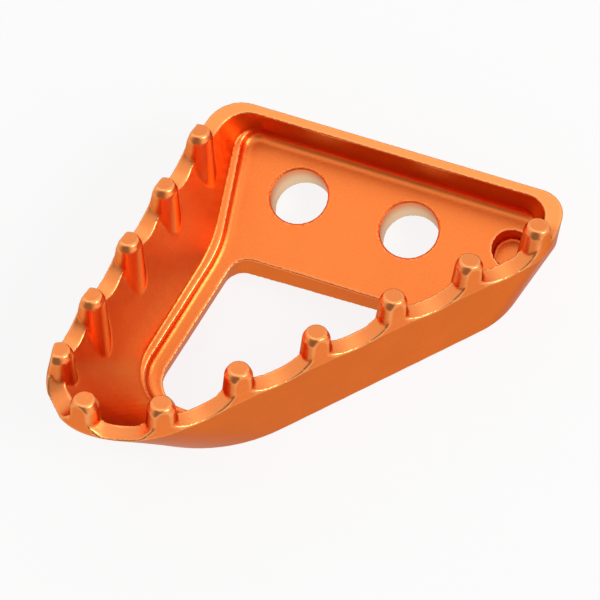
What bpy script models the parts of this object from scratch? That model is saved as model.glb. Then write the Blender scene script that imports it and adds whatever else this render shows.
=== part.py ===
"""Brake pedal step plate for a motorbike: one piece of orange anodised aluminium.

A flat web with two screw holes seats on the pedal lever. Round it stands a rim, low and plain
at the back, higher at the nose, with a row of raked round teeth along its left side, its nose
and its long front wall. The top of the rim dips in a round scallop between each two teeth.

The drawing frame has X along the back wall, Y towards the back and Z square to the web. Its
origin is the left screw hole, on top of the web. At the end the model is moved to stand on
Z = 0, with its box centred over the origin.
"""

import math

import bmesh
import bpy
from mathutils import Matrix, Vector

MM = 0.001

# The web and what is drilled and cut through it.
WEB_THICKNESS = 4.3 * MM
SCREW_HOLE_DIAMETER = 6.5 * MM
SCREW_HOLE_SPACING = 13.1 * MM
BLIND_HOLE_DIAMETER = 4.2 * MM
BLIND_HOLE_DEPTH = 2.6 * MM
BLIND_HOLE_PLACE = (24.5 * MM, 1.4 * MM)

# The rim: where its straight runs meet, how high it stands, how thick it is at its top.
BACK_Y = 7.2 * MM
LEFT_BACK_X = -11.1 * MM
LEFT_NOSE_X = -16.5 * MM
NOSE_Y = -35.1 * MM
CHIN_X = -2.8 * MM
RIGHT_X = 29.4 * MM
SHOULDER_Y = -0.5 * MM
BACK_WALL_HEIGHT = 5.0 * MM
RIM_TILT = math.radians(10.0)
BACK_WALL = 1.15 * MM
LEFT_WALL = 1.8 * MM
NOSE_WALL = 1.8 * MM
FRONT_WALL = 1.75 * MM
RIGHT_WALL = 1.8 * MM

# Corners of the pocket's bulge and of the big opening: how far each lies in from the rim's
# corner that it follows, along X and along Y, and the setback of its rounding.
BULGE = {"x": 4.3 * MM, "y": 15.9 * MM, "setback": 3.0 * MM}
OPENING_BACK_LEFT = {"x": 7.1 * MM, "y": 15.9 * MM, "setback": 1.9 * MM}
OPENING_NOSE_LEFT = {"x": 8.9 * MM, "y": 8.1 * MM, "setback": 4.0 * MM}
OPENING_NOSE_RIGHT = {"x": 2.0 * MM, "y": 8.1 * MM, "setback": 1.6 * MM}
OPENING_BACK_RIGHT = {"x": 12.6 * MM, "y": 15.8 * MM, "setback": 1.6 * MM}

# The teeth: tapered round pins with coned tops that lean back from square to the web, in a left
# row of five, one on the nose and a front row of six. Their outer sides are cut flush with the
# flank, which leans in above the rim's lows. The diameter is the one just under the coned top.
# Distances run along the rim from its back left corner.
TOOTH_DIAMETER = 2.95 * MM
TOOTH_DRAFT = math.radians(4.0)
TOOTH_FLAT = 0.23 * MM
TOOTH_HEIGHT = 3.3 * MM
TOOTH_ROOT = 9.0 * MM
TOOTH_RAKE = math.radians(28.0)
TOOTH_SIDES = 32
CONE_INSET = 0.38 * MM
CONE_DEPTH = 0.75 * MM
FLANK_LEAN = math.radians(3.0)
LEFT_FLANK_LEAN = math.radians(12.0)
LEFT_ROW = {"first": 10.0 * MM, "pitch": 7.4 * MM, "count": 5}
NOSE_ROW = {"first": 48.2 * MM, "pitch": 8.0 * MM, "count": 1}
FRONT_ROW = {"first": 57.35 * MM, "pitch": 8.8 * MM, "count": 6}

# The scallops: how high they run up a tooth, and how far their ends tuck in behind its sides.
SCALLOP_RISE = 1.2 * MM
SCALLOP_TUCK = 0.75 * MM

# The pocket's floor: a round step up to a narrow ledge at the foot of the left and nose walls.
FLOOR_FILLET = 1.0 * MM
LEDGE = 0.75 * MM
LEDGE_RISE = 0.12 * MM

# Rounding and working room.
FOOT_CHAMFER = 0.5 * MM
OPENING_UNDERCUT = 1.1 * MM
PIN_SKIN = 0.025 * MM
LOW_SKIN = 0.06 * MM
CLEAR = 2.0 * MM
ARC_STEPS = 12
EDGE_STEPS = 7
WALL_STEPS = 3
FILLET_STEPS = 4
HOLE_SIDES = 48
BAR_SIDES = 64


def rim_corners():
    """Corners of the rim's outer line, anticlockwise from the back left, each with its setback."""
    return [
        (LEFT_BACK_X, BACK_Y, 3.6 * MM),
        (LEFT_NOSE_X, NOSE_Y, 7.8 * MM),
        (CHIN_X, NOSE_Y, 5.6 * MM),
        (RIGHT_X, SHOULDER_Y, 2.2 * MM),
        (RIGHT_X, BACK_Y, 3.0 * MM),
    ]


def foot_corners():
    """Corners of the underside, which is smaller than the rim at the nose and at the right end."""
    return [
        (LEFT_BACK_X + 0.9 * MM, BACK_Y - 0.3 * MM, 2.6 * MM),
        (LEFT_NOSE_X + 2.7 * MM, NOSE_Y + 2.4 * MM, 8.0 * MM),
        (CHIN_X + 5.3 * MM, NOSE_Y + 5.7 * MM, 6.2 * MM),
        (RIGHT_X - 3.8 * MM, SHOULDER_Y - 5.3 * MM, 2.5 * MM),
        (RIGHT_X - 0.2 * MM, BACK_Y - 0.3 * MM, 3.0 * MM),
    ]


def wall_foot_corners():
    """Corners where the pocket's walls end; the left one bulges in beside the left screw hole."""
    return [
        (LEFT_BACK_X + 1.7 * MM, BACK_Y - BACK_WALL - 0.2 * MM, 2.8 * MM),
        (LEFT_BACK_X + BULGE["x"], BACK_Y - BULGE["y"], BULGE["setback"]),
        (LEFT_NOSE_X + 6.0 * MM, NOSE_Y + 7.0 * MM, 6.2 * MM),
        (CHIN_X + 2.0 * MM, NOSE_Y + 6.7 * MM, 2.8 * MM),
        (RIGHT_X - 3.9 * MM, SHOULDER_Y - 1.5 * MM, 1.7 * MM),
        (RIGHT_X - 2.5 * MM, BACK_Y - BACK_WALL - 0.2 * MM, 2.6 * MM),
    ]


def floor_corners():
    """Corners of the pocket's floor, a ledge's width inside the left and the nose walls."""
    return inset_corners(wall_foot_corners(), [LEDGE, LEDGE, LEDGE / 2, 0, 0, 0])


def opening_corners(undercut=0.0):
    """Corners of the big opening, whose left side runs out by an undercut towards the bottom."""
    back_left, nose_left = OPENING_BACK_LEFT, OPENING_NOSE_LEFT
    nose_right, back_right = OPENING_NOSE_RIGHT, OPENING_BACK_RIGHT
    places = [
        (LEFT_BACK_X + back_left["x"] - undercut, BACK_Y - back_left["y"] - undercut / 2),
        (LEFT_NOSE_X + nose_left["x"] - undercut, NOSE_Y + nose_left["y"]),
        (CHIN_X + nose_right["x"], NOSE_Y + nose_right["y"]),
        (RIGHT_X - back_right["x"], BACK_Y - back_right["y"]),
    ]
    corners = (back_left, nose_left, nose_right, back_right)
    return [(x, y, corner["setback"]) for (x, y), corner in zip(places, corners)]


def inset_corners(corners, insets):
    """Moves each side of an anticlockwise outline inwards by its own amount; corner i starts side i."""
    points = [Vector((x, y)) for x, y, _ in corners]
    sides = []
    for i, inset in enumerate(insets):
        start = points[i]
        along = (points[(i + 1) % len(points)] - start).normalized()
        inward = Vector((-along.y, along.x))
        sides.append((start + inward * inset, along))
    moved = []
    for i, (_, _, setback) in enumerate(corners):
        (p, u), (q, v) = sides[i - 1], sides[i]
        reach = (q - p).cross(v) / u.cross(v)
        met = p + u * reach
        moved.append((met.x, met.y, setback * 0.8))
    return moved


def rounded(corners):
    """Points of an outline with an arc at each corner, always as many for as many corners."""
    points = [Vector((x, y)) for x, y, _ in corners]
    line = []
    for i, (_, _, setback) in enumerate(corners):
        corner = points[i]
        following = points[(i + 1) % len(points)]
        onward = corners[(i + 1) % len(corners)][2]
        along_in = (corner - points[i - 1]).normalized()
        along_out = (following - corner).normalized()
        start = corner - along_in * setback
        end = corner + along_out * setback
        turn = math.atan2(along_in.cross(along_out), along_in.dot(along_out))
        for k in range(ARC_STEPS + 1):
            share = k / ARC_STEPS
            if abs(turn) < 0.01:
                line.append(start.lerp(end, share))
                continue
            radius = setback / math.tan(turn / 2)
            centre = start + Vector((-along_in.y, along_in.x)) * radius
            line.append(centre + Matrix.Rotation(turn * share, 2) @ (start - centre))
        far = following - along_out * onward
        line.extend(end.lerp(far, k / EDGE_STEPS) for k in range(1, EDGE_STEPS))
    return line


def inwards(line):
    """Unit vectors that point into an anticlockwise outline at each of its points."""
    result = []
    for i in range(len(line)):
        along = (line[(i + 1) % len(line)] - line[i - 1]).normalized()
        result.append(Vector((-along.y, along.x)))
    return result


def rim_z(y, above=0.0):
    """Height of the tilted plane through the lows of the rim, or of one that lies above it."""
    return BACK_WALL_HEIGHT + math.tan(RIM_TILT) * (BACK_Y - y) + above


def raked(line, above):
    """The outline carried up along the teeth's axis to the plane that lies above the rim's lows."""
    slope = math.tan(TOOTH_RAKE)
    fall = math.tan(RIM_TILT)
    shift = above * slope / (1 + fall * slope)
    return [Vector((p.x, p.y + shift, rim_z(p.y + shift, above))) for p in line]


def flank_top(line, above):
    """The flank's outline carried up with the teeth, leaning in a little and most on the left."""
    moved = []
    for p, inward in zip(line, inwards(line)):
        lean = FLANK_LEAN + (LEFT_FLANK_LEAN - FLANK_LEAN) * max(0.0, inward.x)
        moved.append(p + inward * above * math.tan(lean))
    return raked(moved, above)


def add_object(name, mesh, collection, root):
    """Puts a mesh into a collection, under the empty that carries the whole model."""
    obj = bpy.data.objects.new(name, mesh)
    collection.objects.link(obj)
    obj.parent = root
    return obj


def mesh_from(name, bm):
    """A mesh whose faces point outwards, made from a bmesh, which is then freed."""
    bmesh.ops.recalc_face_normals(bm, faces=bm.faces)
    mesh = bpy.data.meshes.new(name)
    bm.to_mesh(mesh)
    bm.free()
    return mesh


def cover(bm, rings):
    """Adds a closed skin over rings of as many points each, with a flat cap at either end."""
    loops = [[bm.verts.new(p) for p in ring] for ring in rings]
    for low, high in zip(loops, loops[1:]):
        for i in range(len(low)):
            j = (i + 1) % len(low)
            bm.faces.new((low[i], low[j], high[j], high[i]))
    bm.faces.new(list(reversed(loops[0])))
    bm.faces.new(loops[-1])


def loft(name, rings):
    """A mesh of one closed skin over rings, in triangles."""
    bm = bmesh.new()
    cover(bm, rings)
    bmesh.ops.triangulate(bm, faces=bm.faces)
    return mesh_from(name, bm)


def cylinder(name, radius, low, high, sides=HOLE_SIDES):
    """An upright round cutter between two heights, centred on its own Z axis."""
    bm = bmesh.new()
    bmesh.ops.create_cone(
        bm, cap_ends=True, segments=sides, radius1=radius, radius2=radius, depth=high - low
    )
    bmesh.ops.translate(bm, verts=bm.verts, vec=(0, 0, (low + high) / 2))
    return mesh_from(name, bm)


def outer_mesh(name, above, inset=0.0):
    """The plate's outer form: foot, upright flanks, then a raked band up to a height over the rim."""
    foot = rounded(foot_corners())
    rim = rounded(rim_corners())
    foot = [p + n * inset for p, n in zip(foot, inwards(foot))]
    rim = [p + n * inset for p, n in zip(rim, inwards(rim))]
    inner = [p + n * FOOT_CHAMFER for p, n in zip(foot, inwards(foot))]
    low = [Vector((p.x, p.y, -WEB_THICKNESS + FOOT_CHAMFER)) for p in foot]
    high = [Vector((p.x, p.y, rim_z(p.y))) for p in rim]
    sole = [Vector((p.x, p.y, -WEB_THICKNESS)) for p in inner]
    return loft(name, [sole, low, *between(low, high, WALL_STEPS), high, flank_top(rim, above)])


def between(low_ring, high_ring, steps):
    """Rings at even steps between two rings, without the two themselves."""
    shares = [k / steps for k in range(1, steps)]
    return [[a.lerp(b, share) for a, b in zip(low_ring, high_ring)] for share in shares]


def pocket_mesh():
    """The hollow above the web: a floor, a round step, a ledge, flared walls and a raked top."""
    walls = [LEFT_WALL, NOSE_WALL, FRONT_WALL, RIGHT_WALL, BACK_WALL]
    corners = inset_corners(rim_corners(), walls)
    back_left, nose_left = corners[0], corners[1]
    _, bulge_y, bulge_setback = wall_foot_corners()[1]
    share = (bulge_y - back_left[1]) / (nose_left[1] - back_left[1])
    bulge_x = back_left[0] + (nose_left[0] - back_left[0]) * share
    rim = rounded([corners[0], (bulge_x, bulge_y, bulge_setback), *corners[1:]])
    foot = rounded(wall_foot_corners())
    floor = rounded(floor_corners())
    facing = inwards(floor)
    rings = []
    for k in range(FILLET_STEPS + 1):
        turn = math.pi / 2 * k / FILLET_STEPS
        height = FLOOR_FILLET * (1 - math.cos(turn))
        back_off = FLOOR_FILLET * (1 - math.sin(turn))
        places = [low + inward * back_off for low, inward in zip(floor, facing)]
        rings.append([Vector((p.x, p.y, height)) for p in places])
    ledge_z = FLOOR_FILLET + LEDGE_RISE
    rings.append([Vector((p.x, p.y, ledge_z)) for p in foot])
    lip = [Vector((p.x, p.y, rim_z(p.y))) for p in rim]
    rings.extend(between(rings[-1], lip, WALL_STEPS))
    rings.append(lip)
    rings.append(raked(rim, SCALLOP_RISE + CLEAR))
    return loft("pocket", rings)


def opening_mesh():
    """The cutter of the big opening, with the undercut on its left side."""
    top, bottom = CLEAR, -WEB_THICKNESS - CLEAR
    rings = []
    for z in (bottom, top):
        corners = opening_corners(OPENING_UNDERCUT * -z / WEB_THICKNESS)
        rings.append([Vector((p.x, p.y, z)) for p in rounded(corners)])
    return loft("opening", rings)


def along_rim(distance):
    """The point at a distance along the rim's outer line from its back left corner, and its inward."""
    rim = rounded(rim_corners())
    for low, high in zip(rim, rim[1:]):
        step = (high - low).length
        if distance <= step:
            along = (high - low) / step
            return low + along * distance, Vector((-along.y, along.x))
        distance -= step
    return rim[-1], Vector((0, -1))


def tooth_distances():
    """Where the teeth stand along the rim, row by row."""
    rows = (LEFT_ROW, NOSE_ROW, FRONT_ROW)
    return [row["first"] + row["pitch"] * k for row in rows for k in range(row["count"])]


def tooth_foot(distance):
    """The middle of a tooth at the height of the rim's lows, so near the flank that it cuts a flat."""
    edge, inward = along_rim(distance)
    place = edge + inward * (tooth_radius(0) - TOOTH_FLAT)
    return Vector((place.x, place.y, rim_z(place.y)))


def tooth_radius(height):
    """Radius of a tooth under its cone, at a height over the rim's lows measured along its axis."""
    return TOOTH_DIAMETER / 2 + math.tan(TOOTH_DRAFT) * (TOOTH_HEIGHT - CONE_DEPTH - height)


def tooth_axis():
    """The direction of every tooth, leaning towards the back."""
    return Vector((0, math.sin(TOOTH_RAKE), math.cos(TOOTH_RAKE)))


def teeth_mesh(feet):
    """All the pins with their coned tops, long enough below the rim to run out in its flanks."""
    turn = Vector((0, 0, 1)).rotation_difference(tooth_axis()).to_matrix()
    profile = [
        (tooth_radius(-TOOTH_ROOT), -TOOTH_ROOT),
        (TOOTH_DIAMETER / 2, TOOTH_HEIGHT - CONE_DEPTH),
        (TOOTH_DIAMETER / 2 - CONE_INSET, TOOTH_HEIGHT),
    ]
    angles = [2 * math.pi * k / TOOTH_SIDES for k in range(TOOTH_SIDES)]
    whole = bmesh.new()
    for foot in feet:
        rings = []
        for reach, height in profile:
            ring = [Vector((reach * math.cos(a), reach * math.sin(a), height)) for a in angles]
            rings.append([foot + turn @ p for p in ring])
        cover(whole, rings)
    return mesh_from("teeth", whole)


def scallop(start, end):
    """Radius, centre and direction of the round cutter that dips the rim between two places."""
    gap = (end - start).length - 2 * (tooth_radius(0) - SCALLOP_TUCK)
    radius = (gap * gap / 4 + SCALLOP_RISE * SCALLOP_RISE) / (2 * SCALLOP_RISE)
    along = (end - start).normalized()
    across = Vector((along.y, -along.x, 0)).normalized()
    upright = across.cross(along).normalized()
    if upright.z < 0:
        upright = -upright
    return radius, (start + end) / 2 + upright * (radius - LOW_SKIN), across


def scallop_object(name, start, end, cutters, root):
    """A round bar laid across the rim halfway between two teeth, and past both of its sides."""
    radius, centre, across = scallop(start, end)
    reach = max(LEFT_WALL, NOSE_WALL, FRONT_WALL) + 1.2 * CLEAR
    shape = cylinder(name, radius, -reach, reach, sides=BAR_SIDES)
    bar = add_object(name, shape, cutters, root)
    bar.rotation_euler = Vector((0, 0, 1)).rotation_difference(across).to_euler()
    bar.location = centre


def clearance_mesh(left_y, right_y):
    """What lies over the plain back rim, from one line on the left and another on the right."""
    left_x, right_x = LEFT_NOSE_X - CLEAR, RIGHT_X + CLEAR
    step_x, back_y = SCREW_HOLE_SPACING, BACK_Y + 3 * CLEAR
    plan = [
        (left_x, left_y),
        (step_x, left_y),
        (step_x, right_y),
        (right_x, right_y),
        (right_x, back_y),
        (left_x, back_y),
    ]
    heights = (-LOW_SKIN, 4 * CLEAR)
    return loft("clearance", [[Vector((x, y, rim_z(y, h))) for x, y in plan] for h in heights])


def add_cutters(feet, cutters, root):
    """Everything that is taken out of the plate."""
    below = -WEB_THICKNESS - CLEAR
    add_object("pocket", pocket_mesh(), cutters, root)
    add_object("opening", opening_mesh(), cutters, root)
    for k in range(2):
        hole = cylinder(f"screw_hole_{k + 1}", SCREW_HOLE_DIAMETER / 2, below, CLEAR)
        place = add_object(f"screw_hole_{k + 1}", hole, cutters, root)
        place.location.x = SCREW_HOLE_SPACING * k
    blind = cylinder("blind_hole", BLIND_HOLE_DIAMETER / 2, -BLIND_HOLE_DEPTH, CLEAR / 2)
    add_object("blind_hole", blind, cutters, root).location = (*BLIND_HOLE_PLACE, 0)
    for k, (start, end) in enumerate(zip(feet, feet[1:])):
        scallop_object(f"scallop_{k + 1}", start, end, cutters, root)
    run_out = Vector((0, LEFT_ROW["pitch"], 0))
    for name, foot in (("left_end", feet[0]), ("right_end", feet[-1])):
        beyond = foot + run_out
        beyond.z = rim_z(beyond.y)
        scallop_object(name, foot, beyond, cutters, root)
    half = LEFT_ROW["pitch"] / 2
    tool = clearance_mesh(feet[0].y + half, feet[-1].y + half)
    add_object("clearance", tool, cutters, root)


def orange_anodising():
    """Satin orange on metal."""
    material = bpy.data.materials.new("orange_anodising")
    material.use_nodes = True
    surface = material.node_tree.nodes["Principled BSDF"]
    surface.inputs["Base Color"].default_value = (0.86, 0.15, 0.02, 1)
    surface.inputs["Metallic"].default_value = 0.85
    surface.inputs["Roughness"].default_value = 0.34
    return material


def combine(obj, operation, other):
    """Adds a Boolean with another object."""
    step = obj.modifiers.new(other.name, "BOOLEAN")
    step.operation = operation
    step.solver = "EXACT"
    step.object = other


def hide_tool(obj):
    """Marks a cutter or a helper, so that it isn't taken for a part."""
    obj.hide_render = True
    obj.display_type = "WIRE"


def settle(root, body):
    """Stands the model on Z = 0 with the middle of its box over the origin."""
    bpy.context.view_layer.update()
    shape = body.evaluated_get(bpy.context.evaluated_depsgraph_get())
    places = [v.co for v in shape.data.vertices]
    low = Vector([min(p[i] for p in places) for i in range(3)])
    high = Vector([max(p[i] for p in places) for i in range(3)])
    root.location = (-(low.x + high.x) / 2, -(low.y + high.y) / 2, -low.z)


def build():
    """Makes the plate in the open scene."""
    for obj in list(bpy.data.objects):
        bpy.data.objects.remove(obj, do_unlink=True)
    parts = bpy.data.collections.new("brake_pedal_step_plate")
    cutters = bpy.data.collections.new("cutters")
    helpers = bpy.data.collections.new("helpers")
    for collection in (parts, cutters, helpers):
        bpy.context.scene.collection.children.link(collection)
    root = bpy.data.objects.new("plate_frame", None)
    parts.objects.link(root)

    feet = [tooth_foot(distance) for distance in tooth_distances()]
    add_cutters(feet, cutters, root)
    skin = outer_mesh("envelope", 4 * CLEAR, inset=PIN_SKIN)
    envelope = add_object("envelope", skin, helpers, root)
    pins = add_object("pins", teeth_mesh(feet), helpers, root)
    combine(pins, "INTERSECT", envelope)
    for tool in (*cutters.objects, envelope, pins):
        hide_tool(tool)

    body = add_object("step_plate", outer_mesh("step_plate", SCALLOP_RISE), parts, root)
    body.data.materials.append(orange_anodising())
    for tool in cutters.objects:
        combine(body, "DIFFERENCE", tool)
    combine(body, "UNION", pins)
    settle(root, body)
    body.data.shade_smooth()
    body.data.set_sharp_from_angle(angle=math.radians(35))


build()
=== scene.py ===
# %% [markdown]
# # A brake pedal step plate in orange anodised aluminium
#
# The object is one machined piece: a flat web with two screw holes, a rim of leaning grip teeth
# round it and a large opening beside the web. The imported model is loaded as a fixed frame, and
# everything below is placed in its coordinates. They are in metres. Names that end in _MM hold
# millimetres, which are easier to read at this size.

import bmesh
import bpy
import numpy as np
from mathutils import Matrix, Vector


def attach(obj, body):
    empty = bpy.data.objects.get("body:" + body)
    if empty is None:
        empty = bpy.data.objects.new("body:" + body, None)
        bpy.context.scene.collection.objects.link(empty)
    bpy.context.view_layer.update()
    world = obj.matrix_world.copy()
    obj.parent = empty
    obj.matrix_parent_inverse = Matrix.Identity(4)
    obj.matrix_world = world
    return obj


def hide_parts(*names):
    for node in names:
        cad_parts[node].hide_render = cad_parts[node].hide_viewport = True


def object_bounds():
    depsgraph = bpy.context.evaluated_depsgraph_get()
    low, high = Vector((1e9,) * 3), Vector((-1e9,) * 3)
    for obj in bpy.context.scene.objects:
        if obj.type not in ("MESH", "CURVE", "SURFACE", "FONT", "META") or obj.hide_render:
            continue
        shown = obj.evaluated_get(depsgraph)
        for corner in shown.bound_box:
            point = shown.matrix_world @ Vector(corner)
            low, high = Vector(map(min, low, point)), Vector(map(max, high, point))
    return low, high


MM_PER_METRE = 1000

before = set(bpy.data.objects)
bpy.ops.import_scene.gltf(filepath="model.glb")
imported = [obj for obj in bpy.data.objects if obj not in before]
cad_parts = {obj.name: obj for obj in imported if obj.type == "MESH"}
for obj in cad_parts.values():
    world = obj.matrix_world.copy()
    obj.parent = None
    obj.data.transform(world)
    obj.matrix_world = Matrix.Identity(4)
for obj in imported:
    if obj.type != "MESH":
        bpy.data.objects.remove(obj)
cad_low, cad_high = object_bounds()
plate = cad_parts["step_plate"]
print("plate, mm:", [round((b - a) * MM_PER_METRE, 1) for a, b in zip(cad_low, cad_high)])

# %% [markdown]
# ## Where the camera stands
#
# The photograph looks down at the plate from its front right, about seventy degrees above the
# web, through a long lens. The camera's three axes are written out as unit vectors, because a
# matrix built from them can't roll by accident.

# %% Camera
CAMERA_PLACE = Vector((0.04875, -0.05088, 0.21124))
CAMERA_RIGHT = Vector((0.9263, 0.3502, -0.1389))
CAMERA_UP = Vector((-0.2959, 0.9045, 0.3069))
CAMERA_BACK = Vector((0.2331, -0.2432, 0.9415))
SENSOR_WIDTH = 36.0
LENS = 120.0
NEAREST_SEEN, FARTHEST_SEEN = 0.01, 10.0

scene = bpy.context.scene
camera_data = bpy.data.cameras.new("photo_camera")
camera_data.sensor_width = SENSOR_WIDTH
camera_data.lens = LENS
camera_data.clip_start = NEAREST_SEEN
camera_data.clip_end = FARTHEST_SEEN
camera = bpy.data.objects.new("photo_camera", camera_data)
scene.collection.objects.link(camera)
turn = Matrix((CAMERA_RIGHT, CAMERA_UP, CAMERA_BACK)).transposed().to_4x4()
camera.matrix_world = Matrix.Translation(CAMERA_PLACE) @ turn
scene.camera = camera
scene.view_settings.view_transform = "Standard"
distance = (CAMERA_PLACE - (cad_low + cad_high) / 2).length
print("camera distance, mm:", round(distance * MM_PER_METRE))

# %% [markdown]
# ## A surface without knife edges
#
# A machined part is blasted with fine beads before it is anodised, so every edge on it is softly
# broken and catches a thin line of light. The solid from the frame has sharp edges. A bevel
# could round them, but it needs clean loops of edges, and a solid made by cutting has thin
# triangles instead. A voxel remesh turns a merged copy into even little squares, and a few
# rounds of smoothing over those squares round every edge by the same small radius. The squares
# have to be much smaller than that radius, so the flats are thinned out again at the end. The
# copy is turned to an odd angle before the remesh and back after it: an edge that runs almost
# along the voxel grid would otherwise come out with long steps.

# %% An even skin over the plate
VOXEL_MM = 0.15
MERGE_METRES = 1e-7
ODD_TURN = (
    Matrix.Rotation(0.61, 4, "X")
    @ Matrix.Rotation(0.47, 4, "Y")
    @ Matrix.Rotation(0.83, 4, "Z")
)


def evaluated(obj):
    """A new mesh with the object's modifiers applied. The object itself is removed."""
    view = bpy.context.evaluated_depsgraph_get()
    result = bpy.data.meshes.new_from_object(obj.evaluated_get(view))
    bpy.data.objects.remove(obj)
    return result


def even_skin(source, voxel_mm):
    """A copy of the source in millimetres, merged and covered with squares of one voxel's side.

    The squares lie along a grid that is turned against the plate's own axes.
    """
    skin = bmesh.new()
    skin.from_mesh(source.data)
    bmesh.ops.remove_doubles(skin, verts=skin.verts, dist=MERGE_METRES)
    bmesh.ops.scale(skin, verts=skin.verts, vec=(MM_PER_METRE,) * 3)
    mesh = bpy.data.meshes.new("skin_source")
    skin.to_mesh(mesh)
    skin.free()
    mesh.transform(ODD_TURN)
    obj = bpy.data.objects.new("skin_source", mesh)
    scene.collection.objects.link(obj)
    remesh = obj.modifiers.new("even", "REMESH")
    remesh.mode = "VOXEL"
    remesh.voxel_size = voxel_mm
    result = evaluated(obj)
    result.transform(ODD_TURN.inverted())
    return result


skin_mesh = even_skin(plate, VOXEL_MM)
print("squares in the skin:", len(skin_mesh.polygons))

# %% [markdown]
# ## Rounding by averages
#
# Moving each point towards the mean of its neighbours rounds edges, but it also thins the walls.
# So each round has two steps: a step in, and a slightly larger step out, which puts back what the
# first one took from the large forms and leaves the small corners round. The foot of the pocket
# is rounder than the rest, because it was milled with a ball-nosed cutter, so the points just
# above the web get more rounds.

# %% Averages over a mesh
SHRINK, SWELL = 0.5, -0.53


def neighbour_mean(values, edges, counts):
    """For every point, the sum of its neighbours' values over the number of its neighbours.

    Two points are neighbours when an edge joins them.
    """
    flat = values.reshape(len(values), -1)
    total = np.zeros_like(flat)
    for column in range(flat.shape[1]):
        total[:, column] = np.bincount(edges[:, 0], flat[edges[:, 1], column], len(flat))
        total[:, column] += np.bincount(edges[:, 1], flat[edges[:, 0], column], len(flat))
    return (total / counts[:, None]).reshape(values.shape)


def ramp(values, start, end):
    """0 below the start, 1 above the end and a smooth s between them: 3 t^2 - 2 t^3."""
    share = np.clip((values - start) / (end - start), 0, 1)
    return share * share * (3 - 2 * share)


def soften(points, edges, counts, rounds, weight=1.0):
    """Moves each point a share of the way to its neighbours' mean, then a little further back.

    Each step goes from p to p + s w (m - p), with m the neighbours' mean and w the point's
    weight. The share s is SHRINK on the way in and SWELL, which is negative, on the way out, so
    edges turn round and the walls keep their thickness.
    """
    for _ in range(rounds):
        for share in (SHRINK, SWELL):
            points = points + share * weight * (neighbour_mean(points, edges, counts) - points)
    return points


def rows(items, field, width, kind=float):
    """A field of a mesh's items as an array: for each item one row, so many numbers wide."""
    values = np.empty(len(items) * width, dtype=kind)
    items.foreach_get(field, values)
    return values.reshape(-1, width)


# %% Round the edges
SMOOTH_ROUNDS = 8
FOOT_ROUNDS = 30
FOOT_RISE_MM = (4.5, 4.9)
FOOT_FADE_MM = (6.2, 7.2)

points = rows(skin_mesh.vertices, "co", 3)
edges = rows(skin_mesh.edges, "vertices", 2, np.int64)
counts = np.bincount(edges.ravel(), minlength=len(points)).astype(float)
points = soften(points, edges, counts, SMOOTH_ROUNDS)
foot_weight = ramp(points[:, 2], *FOOT_RISE_MM) - ramp(points[:, 2], *FOOT_FADE_MM)
points = soften(points, edges, counts, FOOT_ROUNDS, foot_weight[:, None])
skin_mesh.vertices.foreach_set("co", points.ravel())
skin_mesh.update()
print("skin, mm:", points.min(0).round(2), points.max(0).round(2))

# %% [markdown]
# ## Where the edges are
#
# Edges get a painted highlight and corners painted shade, and handling polishes an edge first, so
# the finish needs to know which points lie on an edge. On a convex edge the neighbours' mean lies
# below the surface, in a corner it lies above, and on a flat it is on the surface. That height,
# averaged over a few neighbours, is kept on the points as an attribute that the material reads.
# The tops of the rim and the teeth, which face up, count as nearly half an edge, so they get a
# painted highlight too.

# %% Edge attribute
EDGE_ROUNDS = 3
EDGE_FULL_MM = 0.010
TOP_FACING = (0.6, 0.88)
TOP_HEIGHTS_MM = (8.0, 9.0)
TOP_HIGHLIGHT_SHARE = 0.45
PERCENTILES = (1, 10, 50, 90, 99)


def edge_amount(points, normals, edges, counts):
    """From -1 in a corner to 1 on an edge: the depth of the neighbours' mean under the surface.

    The depth is the difference between a point and its neighbours' mean, measured along the
    normal, averaged a few times and divided by the depth that counts as a full edge.
    """
    depth = ((points - neighbour_mean(points, edges, counts)) * normals).sum(axis=1)
    for _ in range(EDGE_ROUNDS):
        depth = (depth + neighbour_mean(depth, edges, counts)) / 2
    return np.clip(depth / EDGE_FULL_MM, -1, 1)


normals = rows(skin_mesh.vertex_normals, "vector", 3)
edge = edge_amount(points, normals, edges, counts)
# Painted highlight on the tops: high points whose normals face up count as part of an edge.
lit_tops = ramp(normals[:, 2], *TOP_FACING) * ramp(points[:, 2], *TOP_HEIGHTS_MM)
edge = np.maximum(edge, TOP_HIGHLIGHT_SHARE * lit_tops)
print("edge amount, percentiles", PERCENTILES, np.percentile(edge, PERCENTILES).round(2))

# %% [markdown]
# ## Where the drill went
# The walls of the two screw holes are tinted tan, paler with depth. A point belongs to a hole's
# wall when it is a hole's radius away from its axis and its normal lies flat. The mouths of the
# holes get
# a painted dark line of shade: there the edge amount is set to that of a corner. The mouths of the
# holes are sharp and look dark,
# so there the edge amount is set to that of a corner.

# %% Bore attribute
HOLE_RADIUS_MM = 3.25
HOLE_BAND_MM = 0.2
HOLE_CENTRES_MM = ((-6.917, 13.951), (6.183, 13.951))
WEB_TOP_MM = 4.3
SHADED_MOUTH_MM = 0.25
PALE_DEPTH_MM = 3.0
PALE_AT_MOUTH = 0.25
WALL_FACING = 0.5


def near_holes(points):
    """True where the distance from a hole's axis differs from its radius by less than a band."""
    near = np.zeros(len(points), dtype=bool)
    for centre in HOLE_CENTRES_MM:
        off_axis = np.hypot(points[:, 0] - centre[0], points[:, 1] - centre[1])
        near |= np.abs(off_axis - HOLE_RADIUS_MM) < HOLE_BAND_MM
    return near


at_hole = near_holes(points)
on_wall = at_hole & (np.abs(normals[:, 2]) < WALL_FACING)
depth = WEB_TOP_MM - points[:, 2]
bore = on_wall * (PALE_AT_MOUTH + (1 - PALE_AT_MOUTH) * ramp(depth, 0.0, PALE_DEPTH_MM))
# Painted shade: a dark line at the mouths of the holes, given the edge amount of a corner.
edge[at_hole & (np.abs(depth) < SHADED_MOUTH_MM)] = -1.0
for name, values in (("edge", edge), ("bore", bore)):
    attribute = skin_mesh.attributes.new(name, "FLOAT", "POINT")
    attribute.data.foreach_set("value", values.astype(np.float32))
print("points on the walls of the holes:", int((bore > 0).sum()))
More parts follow.
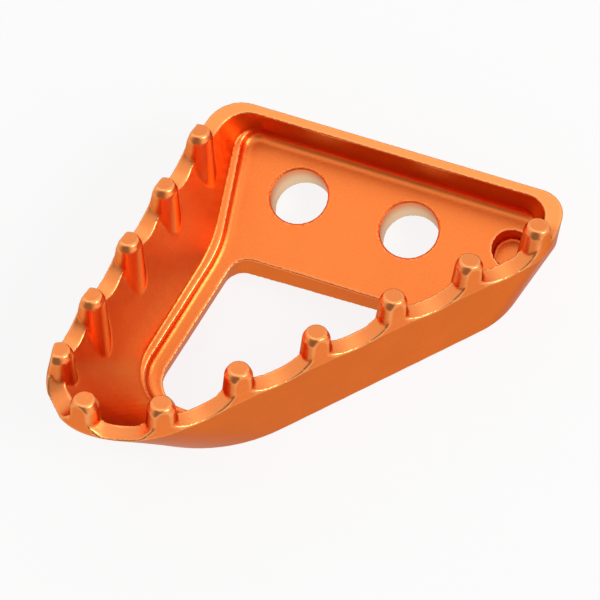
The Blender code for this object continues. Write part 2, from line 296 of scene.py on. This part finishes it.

# %% [markdown]
# ## Fewer triangles on the flats
#
# The even squares are only needed where the form turns. Decimate merges those that lie in one
# plane and keeps the small ones on the rounded edges, and it carries the attributes along. The
# result is the plate itself, so it rides on the body and takes the place of the plain solid.

# %% The piece
SKIN_TRIANGLES = 190000


def thinned(mesh, triangles):
    """A copy of the mesh in metres with at most so many triangles, fewest on its flats."""
    obj = bpy.data.objects.new("thinned", mesh)
    scene.collection.objects.link(obj)
    merge = obj.modifiers.new("merge_flats", "DECIMATE")
    merge.ratio = min(1.0, triangles / (2 * len(mesh.polygons)))
    result = evaluated(obj)
    result.transform(Matrix.Scale(1 / MM_PER_METRE, 4))
    return result


skin_mesh = thinned(skin_mesh, SKIN_TRIANGLES)
skin_mesh.shade_smooth()
step_plate_skin = bpy.data.objects.new("step_plate_skin", skin_mesh)
scene.collection.objects.link(step_plate_skin)
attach(step_plate_skin, "root")
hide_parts("step_plate")
print("triangles:", sum(len(face.vertices) - 2 for face in skin_mesh.polygons))
print("attributes:", [attribute.name for attribute in skin_mesh.attributes])

# %% [markdown]
# ## The blasted surface
#
# Two things vary over blasted metal: the tiny dents of the beads, about a fifth of a millimetre
# wide, and slow clouds, some millimetres wide, where the dye took a little more or less. Both are
# noise read from the object's own coordinates. They go into a node group with a scale for each,
# so that any material can place them with its own values.

# %% Grain and clouds
NOISE_DETAIL = {"Dents": 2.0, "Clouds": 3.0}


def add_node(tree, kind, **settings):
    """A new node in a tree with some of its properties set."""
    node = tree.nodes.new(kind)
    for key, value in settings.items():
        setattr(node, key, value)
    return node


blasted = bpy.data.node_groups.new("blasted_surface", "ShaderNodeTree")
blasted.interface.new_socket("Coordinates", in_out="INPUT", socket_type="NodeSocketVector")
for kind in NOISE_DETAIL:
    blasted.interface.new_socket(
        f"{kind} per metre", in_out="INPUT", socket_type="NodeSocketFloat")
    blasted.interface.new_socket(kind, in_out="OUTPUT", socket_type="NodeSocketFloat")
group_in = add_node(blasted, "NodeGroupInput")
group_out = add_node(blasted, "NodeGroupOutput")
for kind, detail in NOISE_DETAIL.items():
    noise = add_node(blasted, "ShaderNodeTexNoise", name=kind)
    noise.inputs["Detail"].default_value = detail
    blasted.links.new(group_in.outputs["Coordinates"], noise.inputs["Vector"])
    blasted.links.new(group_in.outputs[f"{kind} per metre"], noise.inputs["Scale"])
    blasted.links.new(noise.outputs["Fac"], group_out.inputs[kind])
print("group sockets:", [item.name for item in blasted.interface.items_tree])

# %% [markdown]
# ## Parts of a material
#
# The finish, the floor and the world below are built from the same few steps: a value moved from
# one range to another, a mix of two colours, and a test of what kind of ray is asking. Each step
# is a function, so that the recipes themselves stay short.

# %% Steps of a node tree
# A Mix node has a pair of sockets for each kind of value. These numbers belong to its colours.
FIRST_COLOUR, SECOND_COLOUR, MIXED_COLOUR = 6, 7, 2


def ranged(tree, source, span, to_span=(0.0, 1.0), **settings):
    """A value moved from one range to another, and held at the ends."""
    node = add_node(tree, "ShaderNodeMapRange", clamp=True, **settings)
    for name, value in zip(("From Min", "From Max", "To Min", "To Max"), (*span, *to_span)):
        node.inputs[name].default_value = value
    tree.links.new(source, node.inputs["Value"])
    return node.outputs["Result"]


def joined(tree, operation, first, second):
    """Two values joined by an operation, such as their product or the larger of the two."""
    node = add_node(tree, "ShaderNodeMath", operation=operation)
    tree.links.new(first, node.inputs[0])
    tree.links.new(second, node.inputs[1])
    return node.outputs["Value"]


def tinted(tree, amount, first, second):
    """A mix of two colours, either of them a colour or another node's output."""
    node = add_node(tree, "ShaderNodeMix", data_type="RGBA")
    tree.links.new(amount, node.inputs["Factor"])
    for number, colour in ((FIRST_COLOUR, first), (SECOND_COLOUR, second)):
        if isinstance(colour, tuple):
            node.inputs[number].default_value = colour
        else:
            tree.links.new(colour, node.inputs[number])
    return node.outputs[MIXED_COLOUR]


def is_ray(tree, *kinds):
    """1 for a ray of any of the kinds and 0 for the others: the largest of their flags."""
    path = add_node(tree, "ShaderNodeLightPath")
    flag = path.outputs[f"Is {kinds[0]} Ray"]
    for kind in kinds[1:]:
        flag = joined(tree, "MAXIMUM", flag, path.outputs[f"Is {kind} Ray"])
    return flag


# %% [markdown]
# ## Orange anodising
#
# Anodising is a clear dyed layer on bare metal. Light is tinted as it goes in and out, so the
# plate is a coloured metal: faces that see each other turn deep red, because the tint is
# multiplied at each bounce. The clouds and the dents shift the tint a little, edges and tops get
# a painted highlight, corners and the mouths of the holes painted shade, and the hole walls are
# tan.

# %% The finish
ORANGE = (0.94, 0.23, 0.05, 1)
# The deep orange is painted shade in corners and at the mouths of the screw holes.
PAINTED_SHADE_ORANGE = (0.8, 0.115, 0.018, 1)
# The pale orange is a painted highlight on edges and on the tops of the rim and the teeth.
HIGHLIGHT_ORANGE = (0.97, 0.40, 0.145, 1)
BORE_TAN = (0.95, 0.72, 0.48, 1)
GRAZING_TINT = (0.6, 0.45, 0.4, 1)
DARK_CLOUD, BRIGHT_CLOUD, DARK_DENT = 0.93, 1.02, 0.9
DENTS_PER_METRE = 4600.0
CLOUDS_PER_METRE = 260.0
CLOUD_TINT_SPAN = (0.35, 0.65)
DENT_TINT_SPAN = (0.3, 0.7)
EDGE_SPAN = (0.15, 0.9)
HIGHLIGHT_SHARE = 0.75
SHADE_SPAN = (-0.15, -0.6)

finish = bpy.data.materials.new("orange_anodising")
finish.use_nodes = True
tree = finish.node_tree
satin = tree.nodes["Principled BSDF"]
satin.inputs["Metallic"].default_value = 1.0
satin.inputs["Specular Tint"].default_value = GRAZING_TINT
coordinates = add_node(tree, "ShaderNodeTexCoord")
surface = add_node(tree, "ShaderNodeGroup", node_tree=blasted)
surface.inputs["Dents per metre"].default_value = DENTS_PER_METRE
surface.inputs["Clouds per metre"].default_value = CLOUDS_PER_METRE
tree.links.new(coordinates.outputs["Object"], surface.inputs["Coordinates"])
clouds, dents = surface.outputs["Clouds"], surface.outputs["Dents"]


def shade(colour, factor):
    """The same colour, darker or lighter by a factor."""
    return (*(min(1.0, part * factor) for part in colour[:3]), 1)


edge_value = add_node(tree, "ShaderNodeAttribute", attribute_name="edge").outputs["Fac"]
bore_value = add_node(tree, "ShaderNodeAttribute", attribute_name="bore").outputs["Fac"]
cloud_tint = ranged(tree, clouds, CLOUD_TINT_SPAN)
dent_tint = ranged(tree, dents, DENT_TINT_SPAN)
# Painted shade: corners, and the mouths of the holes, are mixed towards the deep orange.
painted_shade = ranged(tree, edge_value, SHADE_SPAN)
# Painted highlight: edges, and the tops that face up, are mixed towards the pale orange.
painted_highlight = ranged(tree, edge_value, EDGE_SPAN, (0.0, HIGHLIGHT_SHARE))
colour = tinted(tree, cloud_tint, shade(ORANGE, DARK_CLOUD), shade(ORANGE, BRIGHT_CLOUD))
colour = tinted(tree, dent_tint, shade(ORANGE, DARK_DENT), colour)
colour = tinted(tree, painted_shade, colour, PAINTED_SHADE_ORANGE)
colour = tinted(tree, painted_highlight, colour, HIGHLIGHT_ORANGE)
colour = tinted(tree, bore_value, colour, BORE_TAN)
tree.links.new(colour, satin.inputs["Base Color"])

# %% [markdown]
# ## Satin gloss
#
# Blasted and anodised metal is satin: a reflection is there but blurred. The clouds change the
# blur a little, and edges are smoother, since blasting and handling polish them. The dents are
# far too small to model one by one, so they are a very low bump that only turns the light.

# %% Gloss and dents
CLOUD_GLOSS_SPAN = (0.3, 0.7)
ROUGHNESS_SPAN = (0.31, 0.36)
EDGE_POLISH = 0.08
DENT_HEIGHT = 0.00002
DENT_STRENGTH = 0.5

roughness = ranged(tree, clouds, CLOUD_GLOSS_SPAN, ROUGHNESS_SPAN)
polish = ranged(tree, edge_value, EDGE_SPAN, (0.0, EDGE_POLISH))
tree.links.new(joined(tree, "SUBTRACT", roughness, polish), satin.inputs["Roughness"])
bump = add_node(tree, "ShaderNodeBump")
bump.inputs["Strength"].default_value = DENT_STRENGTH
bump.inputs["Distance"].default_value = DENT_HEIGHT
tree.links.new(dents, bump.inputs["Height"])
tree.links.new(bump.outputs["Normal"], satin.inputs["Normal"])
skin_mesh.materials.clear()
skin_mesh.materials.append(finish)
print("nodes in the finish:", len(tree.nodes))

# %% [markdown]
# ## The paper it lies on
#
# The picture was taken in a white tent, and the plate lies on white. Plain white paper under
# lamps this weak would come out grey, in the picture and in the metal's reflections, so the floor
# is matt paper that also glows for the rays that see it directly. It looks nearly white by itself
# and still takes a soft shadow.

# %% Floor
FLOOR_HALF = 3.0
PAPER = (0.94, 0.94, 0.94, 1)
PAPER_ROUGHNESS = 0.9
PAPER_GLOW = 0.86

floor_mesh = bpy.data.meshes.new("floor")
corners = [(-1, -1), (1, -1), (1, 1), (-1, 1)]
floor_points = [(x * FLOOR_HALF, y * FLOOR_HALF, 0) for x, y in corners]
floor_mesh.from_pydata(floor_points, [], [(0, 1, 2, 3)])
floor = bpy.data.objects.new("floor", floor_mesh)
scene.collection.objects.link(floor)
paper = bpy.data.materials.new("white_paper")
paper.use_nodes = True
paper_tree = paper.node_tree
matt = paper_tree.nodes["Principled BSDF"]
matt.inputs["Base Color"].default_value = PAPER
matt.inputs["Roughness"].default_value = PAPER_ROUGHNESS
glow = add_node(paper_tree, "ShaderNodeEmission")
seen = is_ray(paper_tree, "Camera", "Glossy", "Transmission")
blend = add_node(paper_tree, "ShaderNodeMixShader")
paper_tree.links.new(ranged(paper_tree, seen, (0.0, 1.0), (0.0, PAPER_GLOW)), blend.inputs[0])
paper_tree.links.new(matt.outputs["BSDF"], blend.inputs[1])
paper_tree.links.new(glow.outputs["Emission"], blend.inputs[2])
paper_out = paper_tree.nodes["Material Output"]
paper_tree.links.new(blend.outputs["Shader"], paper_out.inputs["Surface"])
floor_mesh.materials.append(paper)

# %% [markdown]
# ## The tent
#
# A metal shows its surroundings. The tent is bright all round, a little fainter towards the
# horizon, and only the side where the camera stands is dim. That dim patch is what gives the
# teeth and the pocket their dark sides. Modelled walls would do the same, but a world that
# depends on the direction is simpler and has no joints to show up in a reflection.

# %% World by direction
FRONT = (0.0, -0.85, 0.53)
DIM_SPAN = (0.64, 0.92)
DIM_LEVEL = 0.28
HORIZON_TOP = 0.6
HORIZON_LEVEL = 0.9

world = bpy.data.worlds.new("tent")
world.use_nodes = True
sky = world.node_tree
direction = add_node(sky, "ShaderNodeTexCoord").outputs["Generated"]
facing = add_node(sky, "ShaderNodeVectorMath", operation="DOT_PRODUCT")
facing.inputs[1].default_value = FRONT
sky.links.new(direction, facing.inputs[0])
height = add_node(sky, "ShaderNodeSeparateXYZ")
sky.links.new(direction, height.inputs["Vector"])
dim = ranged(
    sky, facing.outputs["Value"], DIM_SPAN, (1.0, DIM_LEVEL), interpolation_type="SMOOTHSTEP")
low = ranged(
    sky, height.outputs["Z"], (0.0, HORIZON_TOP), (HORIZON_LEVEL, 1.0),
    interpolation_type="SMOOTHSTEP")
tent_level = joined(sky, "MULTIPLY", dim, low)

# %% [markdown]
# ## What each ray sees of it
#
# The eye sees plain white behind the plate, as in the photograph. Only a reflection sees the
# tent's levels, and the light that falls on matt things is fainter, so that the paper isn't
# overexposed.

# %% World by ray
MATT_LEVEL = 0.55


def chosen(tree, flag, no, yes):
    """The second value where the flag is 1, else the first. Either can be a plain number."""
    node = add_node(tree, "ShaderNodeMix", data_type="FLOAT")
    tree.links.new(flag, node.inputs["Factor"])
    for name, value in (("A", no), ("B", yes)):
        if isinstance(value, float):
            node.inputs[name].default_value = value
        else:
            tree.links.new(value, node.inputs[name])
    return node.outputs["Result"]


reflected = chosen(sky, is_ray(sky, "Glossy"), MATT_LEVEL, tent_level)
level = chosen(sky, is_ray(sky, "Camera", "Transmission"), reflected, 1.0)
backdrop = sky.nodes["Background"]
backdrop.inputs["Color"].default_value = (1, 1, 1, 1)
sky.links.new(level, backdrop.inputs["Strength"])
scene.world = world
print("nodes in the world:", len(sky.nodes))

# %% [markdown]
# ## Two softboxes
#
# A large lamp behind the plate brightens the web, the rim and the tops of the teeth, whose blurred
# reflections reach it, and a smaller one at the right lights the side walls. Both are square area
# lamps, like cloth boxes in front of a flash, because a metal shows the lamp's shape.

# %% Lights
# Each softbox: its place and its side in metres, and its power in watts.
SOFTBOXES = {
    "back_softbox": ((-0.10, 0.54, 0.68), 0.6, 0.55),
    "right_softbox": ((0.55, 0.05, 0.38), 0.34, 1.9),
}


def softbox(name, place, side, watts):
    """A square lamp that faces the plate."""
    data = bpy.data.lights.new(name, "AREA")
    data.shape = "SQUARE"
    data.size = side
    data.energy = watts
    lamp = bpy.data.objects.new(name, data)
    scene.collection.objects.link(lamp)
    aim = (-Vector(place)).to_track_quat("-Z", "Y").to_matrix().to_4x4()
    lamp.matrix_world = Matrix.Translation(place) @ aim
    print(name, "brightness:", round(watts / (np.pi * side * side), 2))


for name, (place, side, watts) in SOFTBOXES.items():
    softbox(name, place, side, watts)
